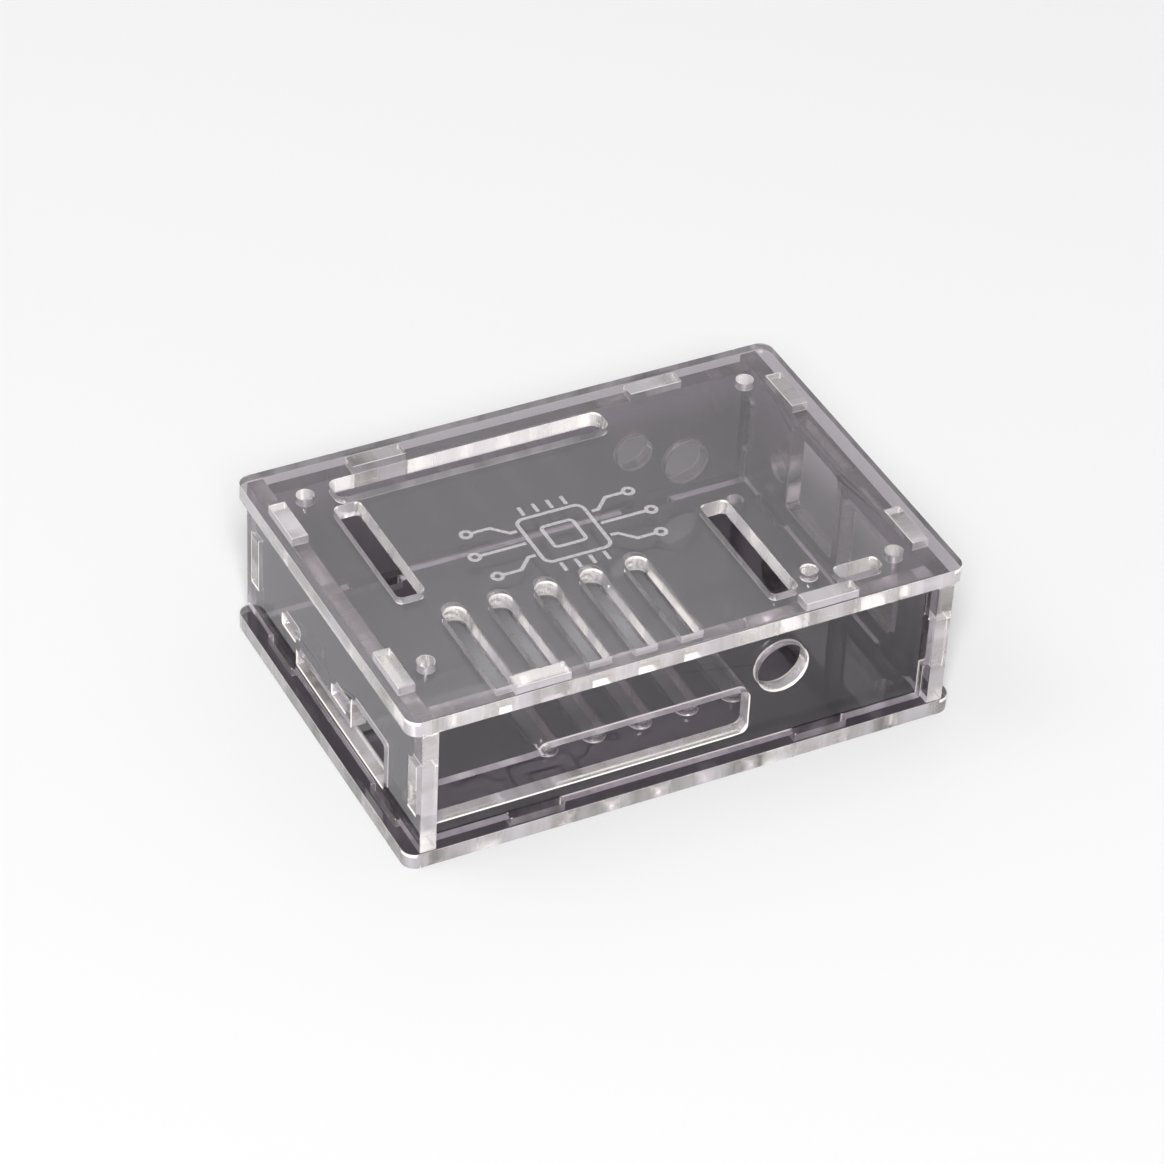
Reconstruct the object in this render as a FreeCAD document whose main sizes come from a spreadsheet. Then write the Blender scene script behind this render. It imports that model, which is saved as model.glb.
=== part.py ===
import FreeCAD, Part
import math
import os

import Sketcher

# A clear case for a single board computer, laser cut from flat acrylic sheet. Two plates and
# four walls lock together by tabs in slots and fingers in mortises, with no screw or glue.
# X runs along the long side, Y from front to back, Z up. The origin is under the middle of
# the case, on the surface that it stands on. Sizes are in millimetres. An opening is placed
# from the inner face of a wall near it, and a port's height is measured from the floor.

SIZES = {
    # Stock and fit
    "sheet": "3.0",
    "kerf_gap": "0.05",
    # Room inside, and how far the plates reach past the walls
    "inner_length": "93.5",
    "inner_depth": "62.0",
    "inner_height": "25.5",
    "end_overhang": "2.25",
    "long_side_overhang": "2.0",
    "plate_corner": "2.5",
    # Tabs and fingers
    "tab_width": "10.0",
    "end_wall_tab_x": "27.0",
    "side_wall_tab_y": "21.5",
    "finger_rise": "7.0",
    "finger_height": "10.5",
    # Screw holes, one of them set back from its corner
    "screw_hole": "3.2",
    "screw_from_wall": "4.0",
    "odd_screw_from_front": "9.0",
    "extra_hole_from_right": "19.85",
    "extra_hole_from_front": "5.2",
    # Slots in the top plate
    "slot_corner": "1.0",
    "header_slot_corner": "1.6",
    "header_slot_length": "52.2",
    "header_slot_width": "5.3",
    "header_slot_from_left": "8.85",
    "header_slot_from_back": "2.0",
    "left_slot_length": "27.1",
    "left_slot_width": "5.1",
    "left_slot_from_left": "6.75",
    "left_slot_from_back": "9.2",
    "right_slot_length": "26.7",
    "right_slot_width": "5.2",
    "right_slot_from_right": "23.65",
    "right_slot_from_front": "1.6",
    "small_slot_length": "8.4",
    "small_slot_width": "3.2",
    "small_slot_from_right": "7.75",
    "small_slot_from_front": "1.0",
    # Vents
    "top_vents": "5",
    "top_vent_width": "4.2",
    "top_vent_length": "22.3",
    "top_vent_pitch": "8.5",
    "top_vents_from_left": "13.65",
    "top_vents_over_front_wall": "2.0",
    "floor_vents": "5",
    "floor_vent_width": "4.3",
    "floor_vent_length": "41.6",
    "floor_vent_pitch": "9.0",
    # Front wall
    "front_port_corner": "1.5",
    "front_port_sill": "4.0",
    "front_port_height": "9.0",
    "front_port_low_height": "8.0",
    "front_port_step_from_left": "20.15",
    "front_port_end_from_left": "59.05",
    "front_hole": "9.5",
    "front_hole_from_left": "65.2",
    "front_hole_rise": "15.9",
    # Back wall
    "small_back_hole": "6.8",
    "small_back_hole_from_right": "23.15",
    "small_back_hole_rise": "13.1",
    "large_back_hole": "8.5",
    "large_back_hole_from_right": "12.35",
    "large_back_hole_rise": "8.0",
    # Left wall
    "left_port_corner": "0.5",
    "left_port_sill": "2.65",
    "left_port_height": "9.55",
    "left_port_width": "13.1",
    "left_port_from_front": "9.7",
    "card_slot_height": "3.05",
    "card_slot_length": "22.7",
    "window_width": "5.8",
    "window_height": "2.4",
    "window_sill": "7.2",
    "front_window_from_front": "25.0",
    "back_window_from_front": "45.9",
    # Right wall
    "right_port_corner": "0.8",
    "right_port_sill": "5.0",
    "low_port_width": "17.6",
    "low_port_height": "15.2",
    "low_port_from_front": "10.4",
    "tall_port_width": "16.5",
    "tall_port_height": "17.6",
    "tall_port_from_front": "30.4",
    "right_hole": "5.8",
    "right_hole_from_front": "50.4",
    "right_hole_rise": "11.6",
}

os.makedirs("parts", exist_ok=True)
doc = FreeCAD.newDocument("board_case")
dims = doc.addObject("Spreadsheet::Sheet", "dims")
for row, (alias, size) in enumerate(SIZES.items(), start=1):
    dims.set(f"A{row}", alias)
    dims.set(f"B{row}", size)
    dims.setAlias(f"B{row}", alias)
doc.recompute()

# Lines that several sheets share, worked out from the sizes
LEFT_FACE = "( 0 - inner_length / 2 )"
RIGHT_FACE = "( inner_length / 2 )"
FRONT_FACE = "( 0 - inner_depth / 2 )"
BACK_FACE = "( inner_depth / 2 )"
CASE_HEIGHT = "( inner_height + 2 * sheet )"
HALF_PLATE_LENGTH = "( inner_length / 2 + sheet + end_overhang )"
HALF_PLATE_DEPTH = "( inner_depth / 2 + sheet + long_side_overhang )"
WALL_FOOT = "( sheet + kerf_gap )"
WALL_HEAD = "( inner_height + sheet - kerf_gap )"
END_WALL_REACH = "( inner_length / 2 - kerf_gap )"
FINGER_REACH = "( inner_length / 2 + sheet )"
FINGER_FOOT = "( sheet + finger_rise )"
FINGER_HEAD = "( sheet + finger_rise + finger_height )"
SLOT_FOR_SHEET = "( sheet + 2 * kerf_gap )"


def bound(text):
    """An expression in which every name of the size table points at the sheet."""
    return " ".join(f"dims.{word}" if word in SIZES else word for word in text.split())


def value(text):
    """What an expression comes to, used to draw a sketch near its solved form."""
    return float(dims.evalExpression(bound(text)))


def minus(text):
    """The same distance on the other side of the middle."""
    return f"( 0 - {text} )"


def span(start, size):
    """Both ends of a stretch, from its lower end and its size."""
    return start, f"{start} + {size}"


def around(middle, size):
    """Both ends of a stretch, from its middle and its size."""
    return f"{middle} - {size} / 2", f"{middle} + {size} / 2"


def origin_plane(body, role):
    """One of a body's own base planes or axes."""
    return next(item for item in body.Origin.OriginFeatures if item.Role == role)


def new_sketch(body, role, name):
    """A sketch on one of the body's own base planes."""
    sketch = body.newObject("Sketcher::SketchObject", f"{body.Name}_{name}")
    sketch.AttachmentSupport = [(origin_plane(body, role), "")]
    sketch.MapMode = "FlatFace"
    return sketch


def hold(sketch, kind, places, text):
    """A distance, radius or diameter that stays bound to the sheet."""
    index = sketch.addConstraint(Sketcher.Constraint(kind, *places, value(text)))
    sketch.setExpression(f"Constraints[{index}]", bound(text))


def tie(sketch, kind, *places):
    """A rule without a size, such as two edges that meet."""
    sketch.addConstraint(Sketcher.Constraint(kind, *places))


def line(sketch, start, end):
    """A straight edge between two points."""
    return sketch.addGeometry(Part.LineSegment(FreeCAD.Vector(*start), FreeCAD.Vector(*end)))


def arc(sketch, centre, radius, start, end):
    """A round edge that turns left between two angles, given in quarter turns."""
    circle = Part.Circle(FreeCAD.Vector(*centre), FreeCAD.Vector(0, 0, 1), radius)
    return sketch.addGeometry(Part.ArcOfCircle(circle, start * math.pi / 2, end * math.pi / 2))


def outline(sketch, points):
    """A closed outline of level and upright edges, each point a pair of expressions."""
    drawn = [(value(across), value(up)) for across, up in points]
    edges = [line(sketch, drawn[i - 1], drawn[i]) for i in range(len(points))]
    for i, (across, up) in enumerate(points):
        tie(sketch, "Coincident", edges[i - 1], 2, edges[i], 1)
        if across == points[i - 1][0]:
            tie(sketch, "Vertical", edges[i])
            hold(sketch, "DistanceX", (-1, 1, edges[i], 2), across)
        else:
            tie(sketch, "Horizontal", edges[i])
            hold(sketch, "DistanceY", (-1, 1, edges[i], 2), up)


def rectangle(sketch, across, up):
    """A sharp rectangle over two spans."""
    left, right = across
    low, high = up
    outline(sketch, [(left, low), (right, low), (right, high), (left, high)])


def rounded_rectangle(sketch, across, up, corner):
    """A rectangle over two spans, with its corners rounded alike."""
    left, right = (value(end) for end in across)
    low, high = (value(end) for end in up)
    radius = value(corner)
    sides = [
        line(sketch, (left + radius, low), (right - radius, low)),
        line(sketch, (right, low + radius), (right, high - radius)),
        line(sketch, (right - radius, high), (left + radius, high)),
        line(sketch, (left, high - radius), (left, low + radius)),
    ]
    arcs = [
        arc(sketch, (right - radius, low + radius), radius, 3, 4),
        arc(sketch, (right - radius, high - radius), radius, 0, 1),
        arc(sketch, (left + radius, high - radius), radius, 1, 2),
        arc(sketch, (left + radius, low + radius), radius, 2, 3),
    ]
    for i in range(4):
        tie(sketch, "Tangent", sides[i], 2, arcs[i], 1)
        tie(sketch, "Tangent", arcs[i], 2, sides[(i + 1) % 4], 1)
        tie(sketch, "Vertical" if i % 2 else "Horizontal", sides[i])
        if i:
            tie(sketch, "Equal", arcs[0], arcs[i])
    hold(sketch, "Radius", (arcs[0],), corner)
    hold(sketch, "DistanceX", (-1, 1, sides[3], 1), across[0])
    hold(sketch, "DistanceX", (-1, 1, sides[1], 1), across[1])
    hold(sketch, "DistanceY", (-1, 1, sides[0], 1), up[0])
    hold(sketch, "DistanceY", (-1, 1, sides[2], 1), up[1])


def round_ended_slot(sketch, across, up):
    """An upright slot over two spans, with a half circle at both ends."""
    left, right = (value(end) for end in across)
    low, high = (value(end) for end in up)
    radius = (right - left) / 2
    right_side = line(sketch, (right, low + radius), (right, high - radius))
    head = arc(sketch, (left + radius, high - radius), radius, 0, 2)
    left_side = line(sketch, (left, high - radius), (left, low + radius))
    foot = arc(sketch, (left + radius, low + radius), radius, 2, 4)
    loop = [right_side, head, left_side, foot]
    for i in range(4):
        tie(sketch, "Tangent", loop[i - 1], 2, loop[i], 1)
    tie(sketch, "Vertical", right_side)
    hold(sketch, "DistanceX", (-1, 1, left_side, 1), across[0])
    hold(sketch, "DistanceX", (-1, 1, right_side, 1), across[1])
    half_width = f"( {across[1]} - ( {across[0]} ) ) / 2"
    hold(sketch, "DistanceY", (-1, 1, foot, 3), f"{up[0]} + {half_width}")
    hold(sketch, "DistanceY", (-1, 1, head, 3), f"{up[1]} - {half_width}")


def arched_slot(sketch, across, up):
    """An upright slot over two spans, square at its lower end and round at its upper end."""
    left, right = (value(end) for end in across)
    low, high = (value(end) for end in up)
    radius = (right - left) / 2
    foot = line(sketch, (left, low), (right, low))
    right_side = line(sketch, (right, low), (right, high - radius))
    head = arc(sketch, (left + radius, high - radius), radius, 0, 2)
    left_side = line(sketch, (left, high - radius), (left, low))
    tie(sketch, "Coincident", left_side, 2, foot, 1)
    tie(sketch, "Coincident", foot, 2, right_side, 1)
    tie(sketch, "Tangent", right_side, 2, head, 1)
    tie(sketch, "Tangent", head, 2, left_side, 1)
    tie(sketch, "Horizontal", foot)
    tie(sketch, "Vertical", right_side)
    hold(sketch, "DistanceX", (-1, 1, foot, 1), across[0])
    hold(sketch, "DistanceX", (-1, 1, foot, 2), across[1])
    hold(sketch, "DistanceY", (-1, 1, foot, 1), up[0])
    hold(sketch, "DistanceY", (-1, 1, head, 3), f"{up[1]} - ( {across[1]} - ( {across[0]} ) ) / 2")


def round_hole(sketch, across, up, diameter):
    """A circle from its centre and its diameter."""
    centre = FreeCAD.Vector(value(across), value(up))
    ring = sketch.addGeometry(Part.Circle(centre, FreeCAD.Vector(0, 0, 1), value(diameter) / 2))
    hold(sketch, "Diameter", (ring,), diameter)
    hold(sketch, "DistanceX", (-1, 1, ring, 3), across)
    hold(sketch, "DistanceY", (-1, 1, ring, 3), up)


def pad(body, sketch):
    """The blank, one sheet thick."""
    blank = body.newObject("PartDesign::Pad", f"{sketch.Name}_pad")
    blank.Profile = sketch
    blank.setExpression("Length", bound("sheet"))
    doc.recompute()


def recompute_and_compare(body, feature, volume_before):
    """Stops if a cut points away from the sheet and so removes nothing."""
    doc.recompute()
    if body.Shape.Volume >= volume_before:
        raise RuntimeError(f"{feature.Name} removes nothing")


def cut(body, sketch):
    """A cut of the sketch right through the sheet."""
    volume_before = body.Shape.Volume
    pocket = body.newObject("PartDesign::Pocket", f"{sketch.Name}_cut")
    pocket.Profile = sketch
    pocket.Type = "ThroughAll"
    pocket.Reversed = True
    recompute_and_compare(body, pocket, volume_before)
    return pocket


def drill(body, sketch, diameter):
    """Plain holes right through the sheet at the sketch's circles."""
    volume_before = body.Shape.Volume
    hole = body.newObject("PartDesign::Hole", f"{sketch.Name}_drill")
    hole.Profile = sketch
    doc.recompute()
    hole.DepthType = "ThroughAll"
    hole.Reversed = True
    hole.setExpression("Diameter", bound(diameter))
    recompute_and_compare(body, hole, volume_before)


def repeat_to_the_right(body, pocket, pitch, count):
    """A row of copies of a cut at an even pitch."""
    volume_before = body.Shape.Volume
    pattern = body.newObject("PartDesign::LinearPattern", f"{pocket.Name}_row")
    pattern.Originals = [pocket]
    pattern.Direction = (origin_plane(body, "X_Axis"), [""])
    pattern.setExpression("Length", bound(f"{pitch} * ( {count} - 1 )"))
    pattern.setExpression("Occurrences", bound(count))
    body.Tip = pattern
    recompute_and_compare(body, pattern, volume_before)


def plate_blank(label):
    """A rounded plate with its eight tab slots and four screw holes."""
    body = doc.addObject("PartDesign::Body", label)
    blank = new_sketch(body, "XY_Plane", "outline")
    plate_across = (minus(HALF_PLATE_LENGTH), HALF_PLATE_LENGTH)
    plate_up = (minus(HALF_PLATE_DEPTH), HALF_PLATE_DEPTH)
    rounded_rectangle(blank, plate_across, plate_up, "plate_corner")
    pad(body, blank)

    slots = new_sketch(body, "XY_Plane", "tab_slots")
    slot_length = "( tab_width + 2 * kerf_gap )"
    end_wall_middle = "( inner_depth / 2 + sheet / 2 )"
    side_wall_middle = "( inner_length / 2 + sheet / 2 )"
    for left_or_right in (minus, str):
        for front_or_back in (minus, str):
            end_wall_tab = around(left_or_right("end_wall_tab_x"), slot_length)
            rectangle(slots, end_wall_tab, around(front_or_back(end_wall_middle), SLOT_FOR_SHEET))
            side_wall_tab = around(front_or_back("side_wall_tab_y"), slot_length)
            rectangle(slots, around(left_or_right(side_wall_middle), SLOT_FOR_SHEET), side_wall_tab)
    cut(body, slots)

    holes = new_sketch(body, "XY_Plane", "screw_holes")
    left = f"{LEFT_FACE} + screw_from_wall"
    right = f"{RIGHT_FACE} - screw_from_wall"
    back = f"{BACK_FACE} - screw_from_wall"
    round_hole(holes, left, back, "screw_hole")
    round_hole(holes, right, back, "screw_hole")
    round_hole(holes, right, f"{FRONT_FACE} + screw_from_wall", "screw_hole")
    round_hole(holes, left, f"{FRONT_FACE} + odd_screw_from_front", "screw_hole")
    drill(body, holes, "screw_hole")
    return body


def make_bottom_plate():
    """The floor, with a centred row of long vents."""
    body = plate_blank("bottom_plate")
    vent = new_sketch(body, "XY_Plane", "vent")
    first_vent = minus("( floor_vent_pitch * ( floor_vents - 1 ) / 2 )")
    round_ended_slot(vent, around(first_vent, "floor_vent_width"), around("0", "floor_vent_length"))
    repeat_to_the_right(body, cut(body, vent), "floor_vent_pitch", "floor_vents")
    return body


def make_top_plate():
    """The lid, slotted over the pin header and two connectors, with vents over the hot parts."""
    body = plate_blank("top_plate")
    slots = new_sketch(body, "XY_Plane", "slots")

    across = span(f"{LEFT_FACE} + header_slot_from_left", "header_slot_length")
    up = span(f"{BACK_FACE} - header_slot_from_back - header_slot_width", "header_slot_width")
    rounded_rectangle(slots, across, up, "header_slot_corner")

    across = span(f"{LEFT_FACE} + left_slot_from_left", "left_slot_width")
    up = span(f"{BACK_FACE} - left_slot_from_back - left_slot_length", "left_slot_length")
    rounded_rectangle(slots, across, up, "slot_corner")

    across = span(f"{RIGHT_FACE} - right_slot_from_right - right_slot_width", "right_slot_width")
    up = span(f"{FRONT_FACE} + right_slot_from_front", "right_slot_length")
    rounded_rectangle(slots, across, up, "slot_corner")

    across = span(f"{RIGHT_FACE} - small_slot_from_right - small_slot_length", "small_slot_length")
    up = span(f"{FRONT_FACE} + small_slot_from_front", "small_slot_width")
    rounded_rectangle(slots, across, up, "slot_corner")

    extra_hole_x = f"{RIGHT_FACE} - extra_hole_from_right"
    round_hole(slots, extra_hole_x, f"{FRONT_FACE} + extra_hole_from_front", "screw_hole")
    cut(body, slots)

    vent = new_sketch(body, "XY_Plane", "vent")
    first_vent = f"{LEFT_FACE} + top_vents_from_left"
    front_end = f"{FRONT_FACE} - top_vents_over_front_wall"
    arched_slot(vent, around(first_vent, "top_vent_width"), span(front_end, "top_vent_length"))
    repeat_to_the_right(body, cut(body, vent), "top_vent_pitch", "top_vents")

    body.setExpression("Placement.Base.z", bound("inner_height + sheet"))
    return body


def wall_blank(label, role, reach, tab_middle, finger_reach=None):
    """A wall with two tabs below and two above, and a finger at each end where it has them."""
    body = doc.addObject("PartDesign::Body", label)
    tab_in, tab_out = around(tab_middle, "tab_width")
    right_half = [(tab_in, WALL_FOOT), (tab_in, "0"), (tab_out, "0"), (tab_out, WALL_FOOT)]
    right_half += [(reach, WALL_FOOT)]
    if finger_reach:
        right_half += [(reach, FINGER_FOOT), (finger_reach, FINGER_FOOT)]
        right_half += [(finger_reach, FINGER_HEAD), (reach, FINGER_HEAD)]
    right_half += [(reach, WALL_HEAD), (tab_out, WALL_HEAD), (tab_out, CASE_HEIGHT)]
    right_half += [(tab_in, CASE_HEIGHT), (tab_in, WALL_HEAD)]
    left_half = [(minus(f"( {across} )"), up) for across, up in reversed(right_half)]
    blank = new_sketch(body, role, "outline")
    outline(blank, right_half + left_half)
    pad(body, blank)
    return body


def end_wall_blank(label):
    """A front or back wall: its fingers pass through the side walls and end flush with them."""
    return wall_blank(label, "XZ_Plane", END_WALL_REACH, "end_wall_tab_x", FINGER_REACH)


def side_wall_blank(label):
    """A side wall as deep as the plates, with a mortise for each end wall's finger."""
    body = wall_blank(label, "YZ_Plane", HALF_PLATE_DEPTH, "side_wall_tab_y")
    mortises = new_sketch(body, "YZ_Plane", "mortises")
    up = (f"{FINGER_FOOT} - kerf_gap", f"{FINGER_HEAD} + kerf_gap")
    rectangle(mortises, span(f"{FRONT_FACE} - sheet - kerf_gap", SLOT_FOR_SHEET), up)
    rectangle(mortises, span(f"{BACK_FACE} - kerf_gap", SLOT_FOR_SHEET), up)
    cut(body, mortises)
    return body


def make_front_wall():
    """The front, with a stepped port that runs out at the left end, and a round hole."""
    body = end_wall_blank("front_wall")
    sill = "sheet + front_port_sill"
    step = f"{LEFT_FACE} + front_port_step_from_left"

    port = new_sketch(body, "XZ_Plane", "port")
    port_across = (step, f"{LEFT_FACE} + front_port_end_from_left")
    rounded_rectangle(port, port_across, span(sill, "front_port_height"), "front_port_corner")
    cut(body, port)

    low_port = new_sketch(body, "XZ_Plane", "low_port")
    low_port_across = (minus(f"( {FINGER_REACH} + sheet )"), f"{step} + 2 * front_port_corner")
    rectangle(low_port, low_port_across, span(sill, "front_port_low_height"))
    cut(body, low_port)

    hole = new_sketch(body, "XZ_Plane", "hole")
    hole_x = f"{LEFT_FACE} + front_hole_from_left"
    round_hole(hole, hole_x, "sheet + front_hole_rise", "front_hole")
    cut(body, hole)

    body.setExpression("Placement.Base.y", bound(FRONT_FACE))
    return body


def make_back_wall():
    """The back, with two round holes."""
    body = end_wall_blank("back_wall")
    holes = new_sketch(body, "XZ_Plane", "holes")
    for name in ("small_back_hole", "large_back_hole"):
        round_hole(holes, f"{RIGHT_FACE} - {name}_from_right", f"sheet + {name}_rise", name)
    cut(body, holes)
    body.setExpression("Placement.Base.y", bound(f"{BACK_FACE} + sheet"))
    return body


def make_left_wall():
    """The left side, with a port, a card slot that runs on from its foot, and two windows."""
    body = side_wall_blank("left_wall")
    sill = "sheet + left_port_sill"

    port = new_sketch(body, "YZ_Plane", "port")
    port_front, port_back = span(f"{FRONT_FACE} + left_port_from_front", "left_port_width")
    port_across = (port_front, port_back)
    rounded_rectangle(port, port_across, span(sill, "left_port_height"), "left_port_corner")
    cut(body, port)

    card_slot = new_sketch(body, "YZ_Plane", "card_slot")
    slot_across = (f"{port_back} - 2 * left_port_corner", f"{port_back} + card_slot_length")
    rectangle(card_slot, slot_across, span(sill, "card_slot_height"))
    cut(body, card_slot)

    windows = new_sketch(body, "YZ_Plane", "windows")
    for name in ("front_window", "back_window"):
        window_across = span(f"{FRONT_FACE} + {name}_from_front", "window_width")
        window_up = span("sheet + window_sill", "window_height")
        rounded_rectangle(windows, window_across, window_up, "left_port_corner")
    cut(body, windows)

    body.setExpression("Placement.Base.x", bound(f"{LEFT_FACE} - sheet"))
    return body


def make_right_wall():
    """The right side, with two tall ports beside each other, and a round hole."""
    body = side_wall_blank("right_wall")

    ports = new_sketch(body, "YZ_Plane", "ports")
    for name in ("low_port", "tall_port"):
        port_across = span(f"{FRONT_FACE} + {name}_from_front", f"{name}_width")
        port_up = span("sheet + right_port_sill", f"{name}_height")
        rounded_rectangle(ports, port_across, port_up, "right_port_corner")
    cut(body, ports)

    hole = new_sketch(body, "YZ_Plane", "hole")
    hole_y = f"{FRONT_FACE} + right_hole_from_front"
    round_hole(hole, hole_y, "sheet + right_hole_rise", "right_hole")
    cut(body, hole)

    body.setExpression("Placement.Base.x", bound(RIGHT_FACE))
    return body


sheets = [
    make_bottom_plate(),
    make_top_plate(),
    make_front_wall(),
    make_back_wall(),
    make_left_wall(),
    make_right_wall(),
]
doc.recompute()

for item in doc.Objects:
    if "Invalid" in item.State or "Error" in item.State:
        raise RuntimeError(f"{item.Name} failed: {item.State}")
for body in sheets:
    if body.Shape.isNull() or not body.Shape.isValid() or len(body.Shape.Solids) != 1:
        raise RuntimeError(f"{body.Label} is not one sound solid")
for body in sheets:
    body.Shape.exportStep(f"parts/{body.Label}.step")
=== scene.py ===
import math

import bpy
import numpy as np
from mathutils import Matrix, Vector


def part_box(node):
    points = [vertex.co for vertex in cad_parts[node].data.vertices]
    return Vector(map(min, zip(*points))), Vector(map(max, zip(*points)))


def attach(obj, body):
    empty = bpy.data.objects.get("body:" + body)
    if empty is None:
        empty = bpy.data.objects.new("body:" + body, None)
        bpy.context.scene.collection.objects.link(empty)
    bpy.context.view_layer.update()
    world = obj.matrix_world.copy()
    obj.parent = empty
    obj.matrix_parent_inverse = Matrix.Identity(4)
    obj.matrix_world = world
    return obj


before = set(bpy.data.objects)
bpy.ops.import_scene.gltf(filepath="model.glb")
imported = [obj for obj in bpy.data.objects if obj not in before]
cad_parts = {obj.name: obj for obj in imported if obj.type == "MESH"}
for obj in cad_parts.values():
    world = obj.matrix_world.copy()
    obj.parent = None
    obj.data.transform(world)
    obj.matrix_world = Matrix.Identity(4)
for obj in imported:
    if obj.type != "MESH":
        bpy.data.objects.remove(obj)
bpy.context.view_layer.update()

# A clear acrylic case for a single board computer, laser cut from flat sheet. The six sheets
# come from the frame. This script gives them their finish, adds the etched mark on the top
# plate, and sets up the floor, the room, the lamps and the camera. Lengths are in metres.

MM = 0.001

# Cut edges and their rims. The lean of a surface is how much its normal lies along the sheet's
# thin direction: above FACE_LEAN it is a polished face, below RIM_LEAN the cut edge itself,
# and between the two the rim, a narrow slope
FACE_LEAN = 0.9
RIM_LEAN = 0.3
RIM_WIDTH = 0.2 * MM
RIM_ANGLE = math.radians(40)
WELD_REACH = 0.002 * MM
ACRYLIC_IOR = 1.49
EDGE_ROUGHNESS = 0.2

# Ribs run straight through the sheet. Real ones are 0.1 mm apart, drawn here at 0.3 mm to show
RIB_SPACING = 0.3 * MM
RIB_STRETCH = 0.03
RIB_STRENGTH = 0.18
RIB_HEIGHT = 0.1 * MM

# Streaks along the cut, a slow noise: partly the cut's irregular finish and partly painted
# reflection, in dusky and pale patches. At its low value the edge is milkiest and dusky, and at
# its high value glassiest and pale. The shares are of clear acrylic, and the rest is milky
STREAK_SPACING = 7.0 * MM
STREAK_LOW = 0.38
STREAK_HIGH = 0.62
EDGE_CLEAR_LEAST = 0.54
EDGE_CLEAR_MOST = 0.94
# The rim is left mostly milky white: a painted highlight that shows as a bright line along every
# edge.
PAINTED_RIM_LINE_CLEAR = 0.15

# Mark, in millimetres: a plain chip with pins and traces, near the middle of the top plate
MARK_CENTRE = (-6.8, -0.3)
MARK_LINE = 0.7
MARK_THICKNESS = 0.03
MARK_LIFT = 0.01
CHIP_SIDE = 12.6
CHIP_CORNER = 1.6
DIE_SIDE = 6.0
DIE_CORNER = 0.8
PIN_LENGTH = 2.4
PIN_PITCH = 2.7
PINS_A_SIDE = 4
PIN_GAP = 0.45
TRACE_PITCH = 3.6
TRACE_STEP = 2.6
TRACE_REACH = 14.2
PAD_RADIUS = 0.9
SQUARE_POINTS = 32
PAD_POINTS = 24

# Frost of the mark: grain of the etch, and how much of the sheet it covers
FROST_GRAIN = 0.25 * MM
FROST_LOW = 0.3
FROST_HIGH = 0.7
FROST_COVER_LEAST = 0.25
FROST_COVER_MOST = 0.55
FROST_ROUGHNESS = 0.7

# Floor and room. The room is white where it is seen, mirrored or seen through the sheets
FLOOR_HALF = 3.0
FLOOR_DROP = 0.05 * MM
ROOM_LIGHT = 0.16
ROOM_WHITE = 1.0

# Lamps: name, place, the point that each faces, side, power in watts, and spread in degrees
LAMPS = (
    ("key_soft_box", (-1.82, -3.42, 3.60), (0.0, 0.0, 0.0), 1.9, 350.0, 180),
    ("soft_box_left", (-0.9, 0.4, 1.3), (0.0, 0.0, 0.0), 0.8, 3.0, 180),
    ("mirrored_panel", (0.60, 1.10, 0.99), (0.082, 0.122, 0.0), 0.7, 0.018, 15),
)

# Camera, from a fit to the plate corners in the photograph. The focal length is in its pixels
CAMERA_AZIMUTH = math.radians(-28.41)
CAMERA_ELEVATION = math.radians(38.32)
CAMERA_ROLL = math.radians(3.06)
CAMERA_DISTANCE = 791.0 * MM
CAMERA_SIDEWAYS = -1.51 * MM
CAMERA_UPWARDS = 14.53 * MM
CAMERA_NEAREST = 0.01
PHOTO_WIDTH = 1164
FOCAL_LENGTH = 4519.8
SENSOR = 36.0

# Light crosses many sheets and bounces along inside them before it comes out
BOUNCES = 32
MIRROR_BOUNCES = 24


def linear(code):
    """An sRGB colour such as 'd8d2da' as linear red, green and blue."""
    values = [int(code[i:i + 2], 16) / 255 for i in (0, 2, 4)]
    return [v / 12.92 if v <= 0.04045 else ((v + 0.055) / 1.055) ** 2.4 for v in values]


# Colours: what the top plate and the other sheets let through to the eye, a grey that is painted
# shade and darkens what is seen through them, lighter in the top plate than in the others; what
# any of them lets through of a lamp, a cut edge where glassy and where milky, the frost and the
# floor
TOP_SHADE_TINT = linear("b5aeb6")
BODY_SHADE_TINT = linear("a49da5")
SMOKE_SHADOW = linear("6c696d")
# The edge's pale and dusky tones are partly its milky finish and partly painted reflection; the
# pale also paints the rim's highlight line.
EDGE_PALE = linear("f5f0eb")
EDGE_DUSKY = linear("d8d3d8")
FROST = linear("e9e4e8")
PAPER = linear("f2f2f2")
WHITE = linear("ffffff")


def new_material(name):
    """An empty material and its output node."""
    material = bpy.data.materials.new(name)
    material.use_nodes = True
    material.node_tree.nodes.clear()
    return material, add_node(material, "ShaderNodeOutputMaterial")


def add_node(owner, kind, settings=None, **inputs):
    """Adds a node to a material or a world, sets its properties, and sets or links its inputs,
    by name or as i and a number."""
    tree = owner.node_tree
    node = tree.nodes.new(kind)
    for key, setting in (settings or {}).items():
        setattr(node, key, setting)
    for key, source in inputs.items():
        socket = node.inputs[int(key[1:]) if key[1:].isdigit() else key.replace("_", " ")]
        if isinstance(source, bpy.types.NodeSocket):
            tree.links.new(source, socket)
        elif hasattr(source, "__len__"):
            socket.default_value = [*source, 1.0][:len(socket.default_value)]
        else:
            socket.default_value = source
    return node


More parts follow.
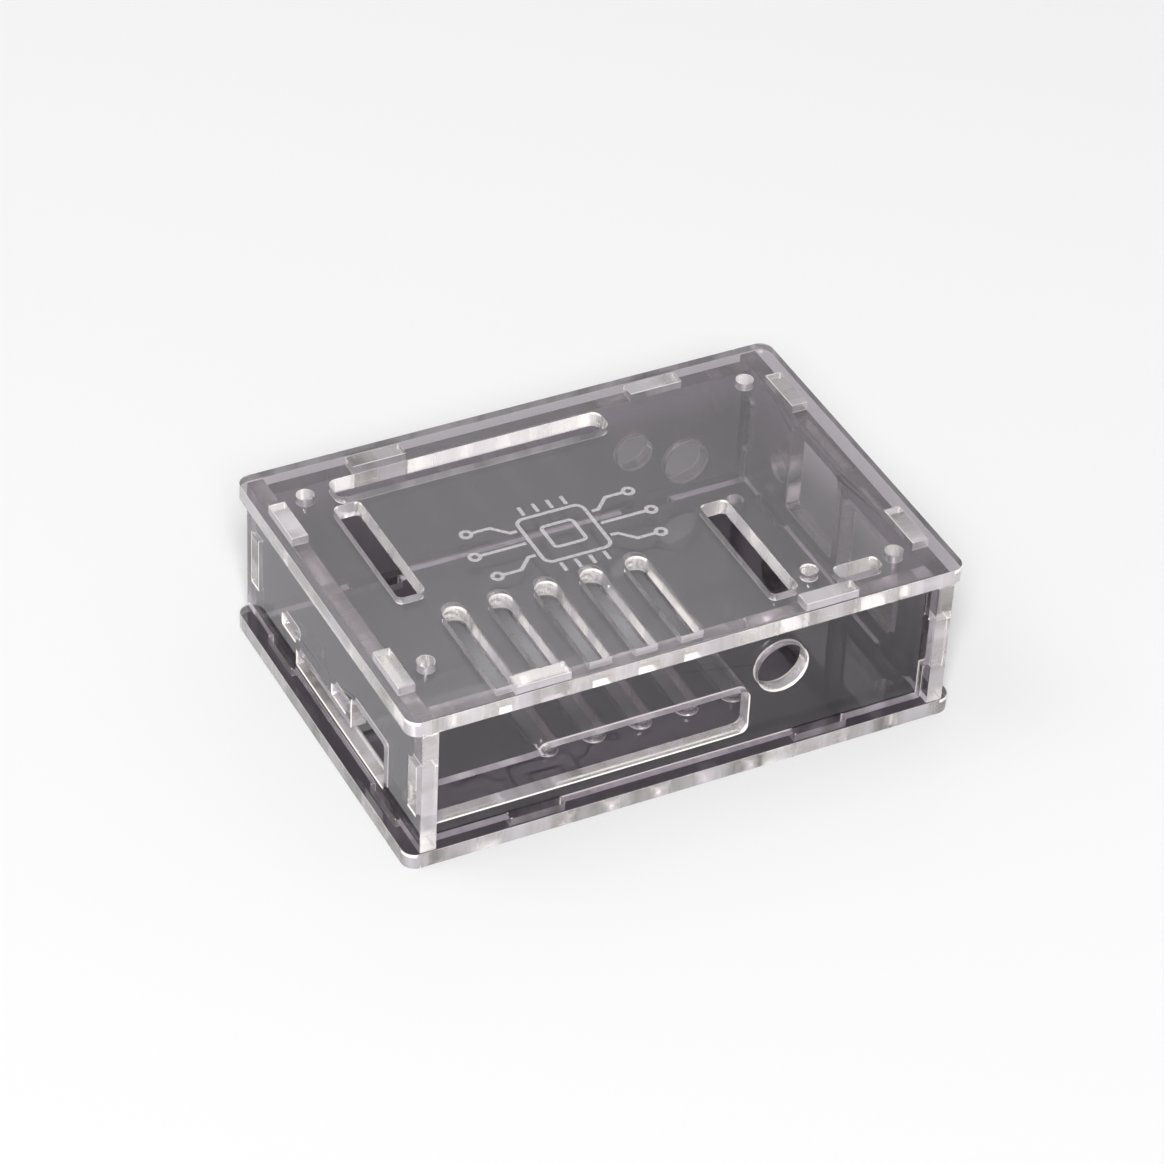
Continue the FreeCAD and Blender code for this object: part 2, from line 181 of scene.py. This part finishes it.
def cast_acrylic(name, face_axis, shade_tint):
    """Cast acrylic (PMMA) sheet, laser cut: polished faces tinted grey as painted shade, and pale
    cut edges.

    A surface that faces along face_axis is the sheet's polished face, clear and glossy.
    Anything else is a cut edge, which the laser leaves glassy but a little milky and ribbed
    across the sheet, so that it catches the light in streaks; their pale and dusky patches are
    partly the cut's irregular finish and partly painted reflection. Its rim, the narrow slope
    between edge and face, is made almost all milky white, a painted highlight that shows as a
    bright line. The light of a lamp, and light that a matte surface has scattered, passes a
    sheet as it would a thin film, dimmed once, where it enters.
    """
    material, output = new_material(name)
    place = add_node(material, "ShaderNodeTexCoord")
    turned = add_node(material, "ShaderNodeSeparateXYZ", i0=place.outputs["Normal"])
    lean = add_node(material, "ShaderNodeMath", {"operation": "ABSOLUTE"},
                    i0=turned.outputs[face_axis])
    edge = add_node(material, "ShaderNodeMath", {"operation": "LESS_THAN"},
                    i0=lean.outputs[0], i1=FACE_LEAN)
    slope = add_node(material, "ShaderNodeMath", {"operation": "GREATER_THAN"},
                     i0=lean.outputs[0], i1=RIM_LEAN)
    rim = add_node(material, "ShaderNodeMath", {"operation": "MULTIPLY"},
                   i0=slope.outputs[0], i1=edge.outputs[0])

    through = [1.0, 1.0, 1.0]
    through["XYZ".index(face_axis)] = RIB_STRETCH
    straight = add_node(material, "ShaderNodeMapping", i0=place.outputs["Object"], Scale=through)
    ribs = add_node(material, "ShaderNodeTexNoise", i0=straight.outputs[0],
                    Scale=1 / RIB_SPACING, Detail=1.0)
    relief = add_node(material, "ShaderNodeMath", {"operation": "MULTIPLY"},
                      i0=edge.outputs[0], i1=ribs.outputs[0])
    bump = add_node(material, "ShaderNodeBump", Strength=RIB_STRENGTH, Distance=RIB_HEIGHT,
                    Height=relief.outputs[0])

    streaks = add_node(material, "ShaderNodeTexNoise", i0=straight.outputs[0],
                       Scale=1 / STREAK_SPACING, Detail=4.0)
    streaky = add_node(material, "ShaderNodeMapRange", i0=streaks.outputs[0],
                       i1=STREAK_LOW, i2=STREAK_HIGH)
    # Pale and dusky patches along the cut, partly painted reflection, with the rim set to pale as
    # a painted highlight line.
    painted_patches_and_rim = add_node(material, "ShaderNodeMath", {"operation": "MAXIMUM"},
                      i0=streaky.outputs[0], i1=rim.outputs[0])
    edge_tint = add_node(material, "ShaderNodeMix", {"data_type": "RGBA"},
                         i0=painted_patches_and_rim.outputs[0], i6=EDGE_DUSKY, i7=EDGE_PALE)
    # The polished faces take the grey tint passed in: painted shade that darkens what is seen
    # through them.
    tint = add_node(material, "ShaderNodeMix", {"data_type": "RGBA"},
                    i0=edge.outputs[0], i6=shade_tint, i7=edge_tint.outputs[2])
    glassy = add_node(material, "ShaderNodeMapRange", i0=streaks.outputs[0],
                      i1=STREAK_LOW, i2=STREAK_HIGH, i3=EDGE_CLEAR_LEAST, i4=EDGE_CLEAR_MOST)
    # The rim keeps little clear acrylic, so that it is mostly milky white, a painted highlight
    # line.
    edge_clear = add_node(material, "ShaderNodeMix", i0=rim.outputs[0],
                          i2=glassy.outputs[0], i3=PAINTED_RIM_LINE_CLEAR)
    clear = add_node(material, "ShaderNodeMix", i0=edge.outputs[0],
                     i2=1.0, i3=edge_clear.outputs[0])
    rough = add_node(material, "ShaderNodeMapRange", i0=edge.outputs[0],
                     i3=0.0, i4=EDGE_ROUGHNESS)
    sheet = add_node(material, "ShaderNodeBsdfPrincipled", Base_Color=tint.outputs[2],
                     IOR=ACRYLIC_IOR, Roughness=rough.outputs[0],
                     Transmission_Weight=clear.outputs[0], Normal=bump.outputs[0])

    side = add_node(material, "ShaderNodeNewGeometry")
    dimming = add_node(material, "ShaderNodeMix", {"data_type": "RGBA"},
                       i0=side.outputs["Backfacing"], i6=SMOKE_SHADOW, i7=WHITE)
    film = add_node(material, "ShaderNodeBsdfTransparent", Color=dimming.outputs[2])
    ray = add_node(material, "ShaderNodeLightPath")
    to_floor = add_node(material, "ShaderNodeMixShader", i0=ray.outputs["Is Diffuse Ray"],
                        i1=sheet.outputs[0], i2=film.outputs[0])
    to_lamp = add_node(material, "ShaderNodeMixShader", i0=ray.outputs["Is Shadow Ray"],
                       i1=to_floor.outputs[0], i2=film.outputs[0])
    material.node_tree.links.new(to_lamp.outputs[0], output.inputs["Surface"])
    return material


def etched_acrylic():
    """Acrylic etched by the laser: a shallow white frost, dull, with the sheet showing through."""
    material, output = new_material("etched_acrylic")
    place = add_node(material, "ShaderNodeTexCoord")
    grain = add_node(material, "ShaderNodeTexNoise", i0=place.outputs["Object"],
                     Scale=1 / FROST_GRAIN)
    cover = add_node(material, "ShaderNodeMapRange", i0=grain.outputs[0],
                     i1=FROST_LOW, i2=FROST_HIGH, i3=FROST_COVER_LEAST, i4=FROST_COVER_MOST)
    frost = add_node(material, "ShaderNodeBsdfPrincipled", Base_Color=FROST,
                     Roughness=FROST_ROUGHNESS, Alpha=cover.outputs[0])
    material.node_tree.links.new(frost.outputs[0], output.inputs["Surface"])
    return material


def rounded_square(side, corner):
    """Points anticlockwise round a square with round corners: each stands on a quarter circle
    about one of four centres, and all are turned a little, so that none lies between two."""
    turns = np.linspace(0, 2 * np.pi, SQUARE_POINTS + 1)[:-1] + np.pi / (2 * SQUARE_POINTS)
    circle = np.stack([np.cos(turns), np.sin(turns)], 1)
    return (side / 2 - corner) * np.sign(circle) + corner * circle


def stroke(path, closed):
    """A flat bar carried along a path: at each point the bar's section, a rectangle as wide as
    the line and as high as the etch, stands across the mean of the two directions that meet
    there."""
    path = np.asarray(path, float)
    step = np.roll(path, -1, 0) - path
    if not closed:
        step[-1] = step[-2]
    step = step / np.linalg.norm(step, axis=1, keepdims=True)
    before = np.roll(step, 1, 0)
    if not closed:
        before[0] = step[0]
    mean = step + before
    mean = mean / np.linalg.norm(mean, axis=1, keepdims=True)
    reach = MARK_LINE / 2 / np.sum(mean * step, axis=1)
    across = np.stack([-mean[:, 1], mean[:, 0]], 1) * reach[:, None]
    sides = np.array([1, -1, -1, 1])
    heights = np.array([0, 0, 1, 1]) * MARK_THICKNESS
    points = np.empty((len(path), 4, 3))
    points[:, :, :2] = path[:, None, :] + sides[None, :, None] * across[:, None, :]
    points[:, :, 2] = heights
    rows = np.arange(len(path) if closed else len(path) - 1)[:, None]
    ahead = (rows + 1) % len(path)
    now = np.arange(4)[None, :]
    after = (now + 1) % 4
    faces = np.stack([rows * 4 + now, rows * 4 + after, ahead * 4 + after, ahead * 4 + now], 2)
    faces = faces.reshape(-1, 4).tolist()
    if not closed:
        last = 4 * (len(path) - 1)
        faces += [[3, 2, 1, 0], [last, last + 1, last + 2, last + 3]]
    return points.reshape(-1, 3), faces


def mark_strokes():
    """The lines of the mark about its own centre, and whether each is closed: a chip, its die,
    pins, and traces that run to round pads."""
    edge = CHIP_SIDE / 2 + MARK_LINE / 2 + PIN_GAP
    yield rounded_square(CHIP_SIDE, CHIP_CORNER), True
    yield rounded_square(DIE_SIDE, DIE_CORNER), True
    for number in range(PINS_A_SIDE):
        x = (number - (PINS_A_SIDE - 1) / 2) * PIN_PITCH
        for way in (1, -1):
            yield [(x, way * edge), (x, way * (edge + PIN_LENGTH))], False
    turns = np.linspace(0, 2 * np.pi, PAD_POINTS + 1)[:-1]
    circle = PAD_RADIUS * np.stack([np.cos(turns), np.sin(turns)], 1)
    for way in (1, -1):
        for row in (-1, 0, 1):
            y = row * TRACE_PITCH
            bend = edge + TRACE_STEP / 2
            end = TRACE_REACH if row else TRACE_REACH + TRACE_STEP / 2
            away = y + row * TRACE_STEP
            corners = [(edge, y), (bend, y), (bend + TRACE_STEP, away), (end, away)]
            if not row:
                corners = [(edge, y), (end, y)]
            yield [(way * x, y) for x, y in corners], False
            yield circle + (way * (end + PAD_RADIUS + MARK_LINE / 2), away), True


def make_mark():
    """The mark as one piece that lies on the top plate."""
    corners = []
    faces = []
    for path, closed in mark_strokes():
        stroke_corners, stroke_faces = stroke(path, closed)
        faces += [[corner + len(corners) for corner in face] for face in stroke_faces]
        corners += stroke_corners.tolist()
    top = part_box("top_plate")[1][2]
    place = np.array([MARK_CENTRE[0] * MM, MARK_CENTRE[1] * MM, top + MARK_LIFT * MM])
    mesh = bpy.data.meshes.new("etched_mark")
    mesh.from_pydata((np.array(corners) * MM + place).tolist(), [], faces)
    mesh.validate()
    mark = bpy.data.objects.new("etched_mark", mesh)
    bpy.context.scene.collection.objects.link(mark)
    mesh.materials.append(etched_acrylic())
    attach(mark, "root")


def finish_sheets():
    """Each sheet gets the acrylic whose faces lie across its thin direction, and softened rims."""
    # One clear acrylic with two greys of painted shade: darker in the walls and bottom plate,
    # lighter in the top plate.
    shade_tinted = {axis: cast_acrylic(f"shade_tinted_acrylic_{axis.lower()}", axis, BODY_SHADE_TINT)
              for axis in "XYZ"}
    pale = cast_acrylic("lighter_shade_tinted_acrylic", "Z", TOP_SHADE_TINT)
    for node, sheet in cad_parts.items():
        low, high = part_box(node)
        thin = min(range(3), key=lambda i: high[i] - low[i])
        sheet.data.materials.clear()
        sheet.data.materials.append(pale if node == "top_plate" else shade_tinted["XYZ"[thin]])
        weld = sheet.modifiers.new("weld", "WELD")
        weld.merge_threshold = WELD_REACH
        rim = sheet.modifiers.new("softened_rim", "BEVEL")
        rim.width = RIM_WIDTH
        rim.segments = 1
        rim.limit_method = "ANGLE"
        rim.angle_limit = RIM_ANGLE


def make_floor():
    """A plain pale floor, a hair below the case."""
    mesh = bpy.data.meshes.new("floor")
    corners = [(x * FLOOR_HALF, y * FLOOR_HALF, -FLOOR_DROP)
               for x, y in ((-1, -1), (1, -1), (1, 1), (-1, 1))]
    mesh.from_pydata(corners, [], [(0, 1, 2, 3)])
    floor = bpy.data.objects.new("floor", mesh)
    bpy.context.scene.collection.objects.link(floor)
    paper, output = new_material("pale_paper")
    matte = add_node(paper, "ShaderNodeBsdfDiffuse", Color=PAPER)
    paper.node_tree.links.new(matte.outputs[0], output.inputs["Surface"])
    mesh.materials.append(paper)


def make_room():
    """A plain room: white to the camera and in everything that mirrors it or shows it through,
    so that the acrylic has a white studio about it, and dimmer as a light."""
    world = bpy.data.worlds.new("room")
    world.use_nodes = True
    world.node_tree.nodes.clear()
    ray = add_node(world, "ShaderNodeLightPath")
    mirrored = add_node(world, "ShaderNodeMath", {"operation": "MAXIMUM"},
                        i0=ray.outputs["Is Glossy Ray"], i1=ray.outputs["Is Transmission Ray"])
    shown = add_node(world, "ShaderNodeMath", {"operation": "MAXIMUM"},
                     i0=ray.outputs["Is Camera Ray"], i1=mirrored.outputs[0])
    strength = add_node(world, "ShaderNodeMapRange", i0=shown.outputs[0],
                        i3=ROOM_LIGHT, i4=ROOM_WHITE)
    room = add_node(world, "ShaderNodeBackground", Color=WHITE, Strength=strength.outputs[0])
    add_node(world, "ShaderNodeOutputWorld", Surface=room.outputs[0])
    bpy.context.scene.world = world


def make_lamps():
    """Soft boxes. The key box stands behind the camera, so that the case's shadow falls behind
    the case. The panel is dim and narrow and hangs where the plates mirror it: it gives them a
    pale sheen."""
    for name, place, aim, side, power, spread in LAMPS:
        lamp = bpy.data.lights.new(name, "AREA")
        lamp.size = side
        lamp.energy = power
        lamp.spread = math.radians(spread)
        box = bpy.data.objects.new(name, lamp)
        box.location = place
        box.rotation_euler = (Vector(aim) - Vector(place)).to_track_quat("-Z", "Y").to_euler()
        bpy.context.scene.collection.objects.link(box)


def make_camera():
    """A camera at the photograph's angle: it looks along the fitted direction, rolled a little."""
    back = Vector((math.sin(CAMERA_AZIMUTH) * math.cos(CAMERA_ELEVATION),
                   -math.cos(CAMERA_AZIMUTH) * math.cos(CAMERA_ELEVATION),
                   math.sin(CAMERA_ELEVATION)))
    level_right = (-back).cross(Vector((0, 0, 1))).normalized()
    level_up = level_right.cross(-back)
    cos_roll = math.cos(CAMERA_ROLL)
    sin_roll = math.sin(CAMERA_ROLL)
    right = cos_roll * level_right + sin_roll * level_up
    up = -sin_roll * level_right + cos_roll * level_up
    place = CAMERA_DISTANCE * back + CAMERA_SIDEWAYS * right + CAMERA_UPWARDS * up
    turn = Matrix((right, up, back)).transposed().to_4x4()
    lens = bpy.data.cameras.new("camera")
    lens.sensor_width = SENSOR
    lens.lens = SENSOR * FOCAL_LENGTH / PHOTO_WIDTH
    lens.clip_start = CAMERA_NEAREST
    camera = bpy.data.objects.new("camera", lens)
    camera.matrix_world = Matrix.Translation(place) @ turn
    bpy.context.scene.collection.objects.link(camera)
    bpy.context.scene.camera = camera


finish_sheets()
make_mark()
make_floor()
make_room()
make_lamps()
make_camera()

scene = bpy.context.scene
scene.view_settings.view_transform = "Standard"
scene.cycles.max_bounces = BOUNCES
scene.cycles.glossy_bounces = MIRROR_BOUNCES
scene.cycles.transmission_bounces = BOUNCES
scene.cycles.transparent_max_bounces = BOUNCES
